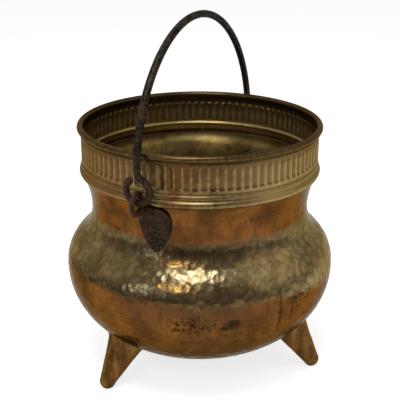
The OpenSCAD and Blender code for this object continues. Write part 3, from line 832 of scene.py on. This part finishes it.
def make_foot(name, turn):
    """One foot, from its worn tip to a cap hidden in the thickness of the bowl."""
    rows = []
    angles = np.arange(FOOT_STEPS) * 2 * np.pi / FOOT_STEPS
    for t in np.linspace(0.12, 1, 9):
        r = TIP_R * math.sin(t * math.pi / 2)
        sink = -TIP_R * math.cos(t * math.pi / 2)
        rows.append([Vector((TIP_X, 0, TIP_Z)) + foot_up * sink
                     + (foot_out * math.cos(a) + foot_side * math.sin(a)) * r for a in angles])
    ends = [reach_bowl(a) for a in angles]
    for t in np.linspace(0, 1, FOOT_ROWS)[1:]:
        fillet = BRAZE * max(0, t * 12 - 11) ** 2
        rows.append([foot_point(t * end, a, 1.0, fillet) for a, end in zip(angles, ends)])
    flank_rows = len(rows)
    # The cap follows the bowl, half-way through the sheet
    for width in (0.8, 0.6, 0.4, 0.2):
        rows.append([foot_point(reach_bowl(a, width), a, width, BRAZE) for a in angles])
    tip = Vector((TIP_X, 0, TIP_Z)) - foot_up * TIP_R
    root = foot_point(reach_bowl(0.0, 0.0), 0.0, 0.0, BRAZE)
    points = [tip] + [p for row in rows for p in row] + [root]
    spin = Matrix.Rotation(math.radians(turn), 4, "Z")
    points = [spin @ p for p in points]
    # The worn flat: nothing reaches below the floor
    points = [(p.x, p.y, max(p.z, 0.0)) for p in points]
    last = len(points) - 1
    faces = []
    for j in range(FOOT_STEPS):
        k = (j + 1) % FOOT_STEPS
        faces.append((0, 1 + k, 1 + j))
        for i in range(len(rows) - 1):
            low = 1 + i * FOOT_STEPS
            faces.append((low + j, low + k, low + FOOT_STEPS + k, low + FOOT_STEPS + j))
        top = 1 + (len(rows) - 1) * FOOT_STEPS
        faces.append((top + j, top + k, last))
    foot = mesh_object(name + "_cast", points, faces)
    # No marks on the worn flat, and none where the root has to meet the bowl
    worn = np.clip(np.array(points)[:, 2] / (3 * MM), 0, 1)
    rooted = np.interp(np.arange(len(rows)), [flank_rows - 6, flank_rows - 2], [1, 0])
    store(foot, "beat", worn * np.concatenate([[1], np.repeat(rooted, FOOT_STEPS), [0]]))
    foot = run_tree(foot, HAMMER, mark_size=9 * MM, mark_depth=0.25 * MM, seed=5.0 + turn,
                    wobble_size=25 * MM, wobble_depth=0.5 * MM, material=CAST)
    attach(foot, "bucket")
    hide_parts(name)
    return foot


for name, turn in FEET.items():
    foot = make_foot(name, turn)
    print(name, len(foot.data.polygons), "faces")

# %% [markdown]
# ## The lugs
#
# A smith drew each lug out of one bar: a teardrop plate with an arm curled into an eye. Forging
# leaves no sharp corners, so a copy of the CAD solid is remeshed finely, smoothed until plate, arm
# and eye flow together, and then gets the marks of a small hammer.

# %% Lugs
LUG_VOXEL = 0.75 * MM


def forged_copy(node, name):
    """A copy of a CAD node with soft forged edges, as a plain mesh."""
    mesh = frame["nodes"][node].data.copy()
    skin = bmesh.new()
    skin.from_mesh(mesh)
    bmesh.ops.remove_doubles(skin, verts=skin.verts, dist=0.005 * MM)
    skin.to_mesh(mesh)
    skin.free()
    mesh.materials.clear()
    soft = bpy.data.objects.new(name, mesh)
    bpy.context.scene.collection.objects.link(soft)
    remesh = soft.modifiers.new("skin", "REMESH")
    remesh.mode = "VOXEL"
    remesh.voxel_size = LUG_VOXEL
    relax = soft.modifiers.new("relax", "SMOOTH")
    relax.factor = 0.5
    relax.iterations = 5
    bpy.context.view_layer.update()
    seen = soft.evaluated_get(bpy.context.evaluated_depsgraph_get())
    plain = bpy.data.meshes.new_from_object(seen)
    bpy.data.objects.remove(soft)
    made = bpy.data.objects.new(name, plain)
    bpy.context.scene.collection.objects.link(made)
    return made


for node, seed in (("lug_front", 11.0), ("lug_rear", 12.0)):
    lug = forged_copy(node, node + "_forged")
    store(lug, "beat", np.ones(len(lug.data.vertices)))
    lug = run_tree(lug, HAMMER, mark_size=7 * MM, mark_depth=0.3 * MM, seed=seed,
                   wobble_size=12 * MM, wobble_depth=0.4 * MM, material=FORGED)
    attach(lug, "bucket")
    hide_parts(node)
    print(node, len(lug.data.polygons), "faces")

# %% [markdown]
# ## The rivets
#
# Two rivets hold each lug. Their peened heads show inside the neck and their flush ends in the
# plate. One head is turned on the axis, and a tree sets a copy on each of the four places, square
# to the neck's face.

# %% Rivet form and places
RIVET_R = 2.5 * MM
RIVET_HEAD_R = 3.8 * MM
RIVET_HEAD_H = 1.8 * MM
PLATE_T = 3 * MM
SEAT = 0.1 * MM
RIVET_Z = LIP_Z - 18.5 * MM
RIVET_SPACING = 28 * MM
FRONT_TURN = 3.2
REAR_TURN = 2.1

under = -POT_WALL - SEAT
top = PLATE_T + SEAT
rivet_section = [(0, under - RIVET_HEAD_H), (RIVET_HEAD_R * 0.35, under - RIVET_HEAD_H * 0.96),
                 (RIVET_HEAD_R * 0.7, under - RIVET_HEAD_H * 0.78),
                 (RIVET_HEAD_R * 0.95, under - RIVET_HEAD_H * 0.4), (RIVET_HEAD_R, under),
                 (RIVET_R, under), (RIVET_R, top - 0.2 * MM), (RIVET_R * 0.8, top + SEAT),
                 (0, top + 2 * SEAT)]
rivet_points, rivet_faces = turned(np.array(rivet_section), 28)
rivet = mesh_object("rivet_pattern", rivet_points, rivet_faces)
store(rivet, "worn", np.concatenate([[1], np.repeat([1, 0.6, 0, 0, 0, 0, 0], 28), [0]]))


def neck_place(turn, z):
    """The point on the neck's outer face at a turn in degrees, and the way it faces."""
    r = neck_face(z)
    tilt = math.asin((z - NECK_Z) / FLARE_R)
    a = math.radians(turn)
    point = Vector((r * math.cos(a), r * math.sin(a), z))
    aim = Vector((math.cos(tilt) * math.cos(a), math.cos(tilt) * math.sin(a), -math.sin(tilt)))
    return point, aim


# %% The tree that sets the rivets
def rivet_tree():
    """Geometry Nodes that set a copy of one object on each point, along its stored aim."""
    tree = bpy.data.node_groups.new("rivets_on_the_neck", "GeometryNodeTree")
    face = tree.interface
    face.new_socket("Geometry", in_out="INPUT", socket_type="NodeSocketGeometry")
    face.new_socket("Rivet", in_out="INPUT", socket_type="NodeSocketObject")
    face.new_socket("Material", in_out="INPUT", socket_type="NodeSocketMaterial")
    face.new_socket("Geometry", in_out="OUTPUT", socket_type="NodeSocketGeometry")
    given = add(tree, "NodeGroupInput").outputs
    form = add(tree, "GeometryNodeObjectInfo", {"Object": given["Rivet"]}).outputs["Geometry"]
    aim = add(tree, "GeometryNodeInputNamedAttribute", {"Name": "aim"},
              data_type="FLOAT_VECTOR").outputs[0]
    turn = add(tree, "FunctionNodeAlignRotationToVector", {"Vector": aim},
               axis="Z").outputs[0]
    copies = add(tree, "GeometryNodeInstanceOnPoints", {"Points": given["Geometry"],
                 "Instance": form, "Rotation": turn}).outputs[0]
    real = add(tree, "GeometryNodeRealizeInstances", {"Geometry": copies}).outputs[0]
    smooth = add(tree, "GeometryNodeSetShadeSmooth", {"Geometry": real}).outputs[0]
    painted = add(tree, "GeometryNodeSetMaterial", {"Geometry": smooth,
                  "Material": given["Material"]}).outputs[0]
    add(tree, "NodeGroupOutput", {0: painted})
    return tree


RIVETING = rivet_tree()
rivet_swing = math.degrees(RIVET_SPACING / 2 / neck_face(RIVET_Z))
for node, middle in (("rivets_front", 180 + FRONT_TURN), ("rivets_rear", REAR_TURN)):
    places = [neck_place(middle + way * rivet_swing, RIVET_Z) for way in (-1, 1)]
    spots = bpy.data.meshes.new(node)
    spots.from_pydata([p for p, _ in places], [], [])
    aims = spots.attributes.new("aim", "FLOAT_VECTOR", "POINT")
    aims.data.foreach_set("vector", [v for _, aim in places for v in aim])
    seat = bpy.data.objects.new(node + "_peened", spots)
    bpy.context.scene.collection.objects.link(seat)
    pair = run_tree(seat, RIVETING, rivet=rivet, material=FORGED)
    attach(pair, "bucket")
    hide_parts(node)
    print(node, len(pair.data.polygons), "faces")
bpy.data.objects.remove(rivet)

# %% [markdown]
# ## The bail
#
# One round bar, bent to a three-centred arch and drawn thinner at each end, where it bends aside
# and closes into a loop through the lug's eye. Its centre line is built from the same arcs as the
# CAD solid. A tree sweeps a rough circle along it, thick or thin as each point's radius says.

# %% Bail centre line
BAIL_ROD_R = 4.6 * MM
LOOP_ROD_R = 4.1 * MM
LOOP_R = 14.6 * MM
BEND_R = 8 * MM
LOOP_TIP = 114
CROWN_ANGLE = math.radians(44)
SPLAY = math.radians(8)
LEAN = math.radians(1.7)
BAIL_LEG = 8 * MM
BAIL_RISE = 167.5 * MM
HINGE_Z = frame["joints"][0]["pos_m"][2]
BAIL_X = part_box("bail")[1].x - LOOP_ROD_R - 0.1 * MM

# Heights here are counted from the hinge line
bend_angle = math.acos(BEND_R / (BEND_R + LOOP_R))
bend_z = (BEND_R + LOOP_R) * math.sin(bend_angle)
spring_x = BAIL_X - BAIL_LEG * math.sin(SPLAY)
spring_z = bend_z + BAIL_LEG * math.cos(SPLAY)
crown_share = (1 - math.sin(CROWN_ANGLE)) / math.cos(CROWN_ANGLE)
side_share = (math.sin(CROWN_ANGLE) - math.sin(SPLAY)
              + (1 - math.sin(CROWN_ANGLE)) * (1 - math.cos(SPLAY) / math.cos(CROWN_ANGLE)))
SIDE_R = (BAIL_RISE - spring_z - spring_x * crown_share) / side_share
side_x = spring_x - SIDE_R * math.cos(SPLAY)
side_z = spring_z - SIDE_R * math.sin(SPLAY)
CROWN_R = SIDE_R + side_x / math.cos(CROWN_ANGLE)


def rear_half():
    """The bail's +X half, from the loop's tip up to the crown's middle."""
    loop = arc(0, 0, LOOP_R, LOOP_TIP, 360 + math.degrees(bend_angle), 90)
    bend = arc(BEND_R, bend_z, BEND_R, 180 + math.degrees(bend_angle), 180, 16)[1:]
    aside = [(BAIL_X, y, z) for y, z in np.vstack([loop, bend])]
    leg = [(BAIL_X + (spring_x - BAIL_X) * t, bend_z + (spring_z - bend_z) * t)
           for t in (0.25, 0.5, 0.75)]
    side = arc(side_x, side_z, SIDE_R, math.degrees(SPLAY), math.degrees(CROWN_ANGLE), 60)
    crown = arc(0, BAIL_RISE - CROWN_R, CROWN_R, math.degrees(CROWN_ANGLE), 90, 60)[1:]
    return aside + [(x, 0, z) for x, z in np.vstack([leg, side, crown])]


rear = rear_half()
upright = rear + [(-x, -y, z) for x, y, z in rear[-2::-1]]
line = np.array([(x, y * math.cos(LEAN) + z * math.sin(LEAN),
                  HINGE_Z + z * math.cos(LEAN) - y * math.sin(LEAN)) for x, y, z in upright])

# %% Bail radius along the line
rod = np.interp(line[:, 2] - HINGE_Z, [bend_z, spring_z], [LOOP_ROD_R, BAIL_ROD_R])
along = np.concatenate([[0], np.cumsum(np.linalg.norm(np.diff(line, axis=0), axis=1))])
from_end = np.minimum(along, along[-1] - along)
rod *= np.interp(from_end, [0, 0.6 * MM, 2 * MM, 5 * MM], [0.45, 0.74, 0.92, 1])
spline_data = bpy.data.curves.new("bail_forged", "CURVE")
spline_data.dimensions = "3D"
spline = spline_data.splines.new("POLY")
spline.points.add(len(line) - 1)
spline.points.foreach_set("co", np.column_stack([line, np.ones(len(line))]).ravel())
spline.points.foreach_set("radius", rod / MM)
bail = bpy.data.objects.new("bail_forged", spline_data)
bpy.context.scene.collection.objects.link(bail)
print("bail rod", round(along[-1], 3), "m long, side", round(SIDE_R / MM, 1), "mm, crown",
      round(CROWN_R / MM, 1), "mm")


# %% The tree that sweeps the rod
def rod_tree():
    """Geometry Nodes that sweep a circle along a line and forge its surface a little uneven."""
    tree = bpy.data.node_groups.new("forged_rod", "GeometryNodeTree")
    face = tree.interface
    face.new_socket("Geometry", in_out="INPUT", socket_type="NodeSocketGeometry")
    for name, value in (("Spacing", 1.6 * MM), ("Unit radius", MM), ("Flat size", 9 * MM),
                        ("Flat depth", 0.3 * MM)):
        face.new_socket(name, in_out="INPUT", socket_type="NodeSocketFloat").default_value = value
    face.new_socket("Material", in_out="INPUT", socket_type="NodeSocketMaterial")
    face.new_socket("Geometry", in_out="OUTPUT", socket_type="NodeSocketGeometry")
    given = add(tree, "NodeGroupInput").outputs
    even = add(tree, "GeometryNodeResampleCurve", {"Curve": given["Geometry"],
               "Length": given["Spacing"]}, mode="LENGTH").outputs[0]
    ring = add(tree, "GeometryNodeCurvePrimitiveCircle", {"Resolution": 20,
               "Radius": given["Unit radius"]}).outputs[0]
    thickness = add(tree, "GeometryNodeInputRadius").outputs[0]
    swept = add(tree, "GeometryNodeCurveToMesh", {"Curve": even, "Profile Curve": ring,
                "Scale": thickness, "Fill Caps": True}).outputs[0]
    place = add(tree, "GeometryNodeInputPosition").outputs[0]
    normal = add(tree, "GeometryNodeInputNormal").outputs[0]
    fineness = add(tree, "ShaderNodeMath", {0: 1.0, 1: given["Flat size"]},
                   operation="DIVIDE").outputs[0]
    flats = add(tree, "ShaderNodeTexNoise", {"Vector": place, "Scale": fineness,
                "Detail": 2.0}).outputs[0]
    deep = add(tree, "ShaderNodeMath", {0: flats, 1: given["Flat depth"]},
               operation="MULTIPLY").outputs[0]
    back = add(tree, "ShaderNodeMath", {0: deep, 1: -1.0}, operation="MULTIPLY").outputs[0]
    push = add(tree, "ShaderNodeVectorMath", {0: normal, "Scale": back},
               operation="SCALE").outputs[0]
    moved = add(tree, "GeometryNodeSetPosition", {"Geometry": swept, "Offset": push}).outputs[0]
    smooth = add(tree, "GeometryNodeSetShadeSmooth", {"Geometry": moved}).outputs[0]
    real = add(tree, "GeometryNodeRealizeInstances", {"Geometry": smooth}).outputs[0]
    painted = add(tree, "GeometryNodeSetMaterial", {"Geometry": real,
                  "Material": given["Material"]}).outputs[0]
    add(tree, "NodeGroupOutput", {0: painted})
    return tree


bail = run_tree(bail, rod_tree(), spacing=1.6 * MM, unit_radius=MM, flat_size=9 * MM,
                flat_depth=0.25 * MM, material=FORGED)
print("bail", len(bail.data.polygons), "faces, open edges", face_outwards(bail))
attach(bail, "bail")
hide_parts("bail")

# %% [markdown]
# ## The wire
#
# The iron wire lies inside the rolled rim, where nobody sees it. Its CAD solid is right as it is,
# and only gets the iron's finish.

# %% Rim wire
wire = frame["nodes"]["rim_wire"]
wire.data.materials.clear()
wire.data.materials.append(FORGED)

# %% [markdown]
# ## Floor, world and lamps
#
# The photograph is a cut-out on white. The floor and the backdrop are white to the camera and to
# reflections, and a soft shadow stays on the floor. Brass shows its form only by what it reflects,
# so the half of the room behind the camera is dim, with one large soft lamp on the left.

# %% Floor
def studio_floor():
    """Matt white, part of its whiteness its own, so that it stays pale round a soft shadow."""
    made = new_material("studio_floor")
    tree = made.node_tree
    seen = add(tree, "ShaderNodeLightPath").outputs
    shows = add(tree, "ShaderNodeMath", {0: seen["Is Camera Ray"], 1: seen["Is Glossy Ray"]},
                operation="MAXIMUM").outputs[0]
    shows = add(tree, "ShaderNodeMath", {0: shows, 1: seen["Is Transmission Ray"]},
                operation="MAXIMUM").outputs[0]
    glow = add(tree, "ShaderNodeMath", {0: shows, 1: 0.75}, operation="MULTIPLY").outputs[0]
    matt = add(tree, "ShaderNodeBsdfDiffuse", {"Color": (0.5, 0.5, 0.5, 1)})
    own = add(tree, "ShaderNodeEmission", {"Strength": glow})
    both = add(tree, "ShaderNodeAddShader", {0: matt.outputs[0], 1: own.outputs[0]})
    add(tree, "ShaderNodeOutputMaterial", {"Surface": both.outputs[0]})
    return made


FLOOR_HALF = 6.0
floor_mesh = bpy.data.meshes.new("floor")
floor_mesh.from_pydata([(-FLOOR_HALF, -FLOOR_HALF, 0), (FLOOR_HALF, -FLOOR_HALF, 0),
                        (FLOOR_HALF, FLOOR_HALF, 0), (-FLOOR_HALF, FLOOR_HALF, 0)], [],
                       [(0, 1, 2, 3)])
floor_mesh.materials.append(studio_floor())
floor = bpy.data.objects.new("floor", floor_mesh)
bpy.context.scene.collection.objects.link(floor)

# %% World
world = bpy.data.worlds.new("studio")
bpy.context.scene.world = world
world.use_nodes = True
sky = world.node_tree
sky.nodes.clear()
seen = add(sky, "ShaderNodeLightPath").outputs
away = add(sky, "ShaderNodeTexCoord").outputs["Generated"]
behind = add(sky, "ShaderNodeVectorMath", {0: away, 1: -outward},
             operation="DOT_PRODUCT").outputs["Value"]
# Reflections see the white backdrop behind the bucket and a dim room behind the camera
backdrop = add(sky, "ShaderNodeMapRange", {"Value": behind, "From Min": -0.1, "From Max": 0.8,
               "To Min": 0.23, "To Max": 1.0}, interpolation_type="SMOOTHSTEP").outputs[0]
lit = add(sky, "ShaderNodeMix", {0: seen["Is Glossy Ray"], 2: 0.5, 3: backdrop}).outputs[0]
clear = add(sky, "ShaderNodeMath", {0: seen["Is Camera Ray"], 1: seen["Is Transmission Ray"]},
            operation="MAXIMUM").outputs[0]
strength = add(sky, "ShaderNodeMix", {0: clear, 2: lit, 3: 1.0}).outputs[0]
wall = add(sky, "ShaderNodeBackground", {"Strength": strength})
add(sky, "ShaderNodeOutputWorld", {"Surface": wall.outputs[0]})


# %% Lamps
def soft_lamp(name, turn, rise, distance, size, watts, colour):
    """A square soft lamp that looks at the bucket; turn is counted from the camera, leftwards."""
    data = bpy.data.lights.new(name, "AREA")
    data.size = size
    data.energy = watts
    data.color = linear(colour)[:3]
    lamp = bpy.data.objects.new(name, data)
    bpy.context.scene.collection.objects.link(lamp)
    a = CAMERA_TURN - math.radians(turn)
    b = math.radians(rise)
    way = Vector((math.cos(b) * math.cos(a), math.cos(b) * math.sin(a), math.sin(b)))
    lamp.location = Vector((0, 0, 0.2)) + way * distance
    lamp.rotation_euler = (-way).to_track_quat("-Z", "Y").to_euler()
    return lamp


soft_lamp("ceiling", 10, 66, 1.6, 0.58, 20, "#dde8ff")
soft_lamp("warm_lamp", 22, 36, 1.7, 0.16, 3.6, "#ffe9c4")
soft_lamp("low_window", 47, 14, 1.8, 0.18, 3.2, "#d4e0ff")
soft_lamp("fill_left", 96, 30, 1.9, 1.6, 3, "#fff6e8")
soft_lamp("fill_right", -74, 36, 1.9, 1.8, 7, "#fff6e8")
soft_lamp("back_top", 160, 60, 1.7, 0.9, 4, "#ffffff")
bpy.context.scene.view_settings.view_transform = "Standard"

# %% [markdown]
# ## Sizes and the last line
#
# Dressing the model must not change its size. Here each CAD part's mesh is updated at the end.

# %% Sizes
for part in frame["nodes"].values():
    part.data.update()
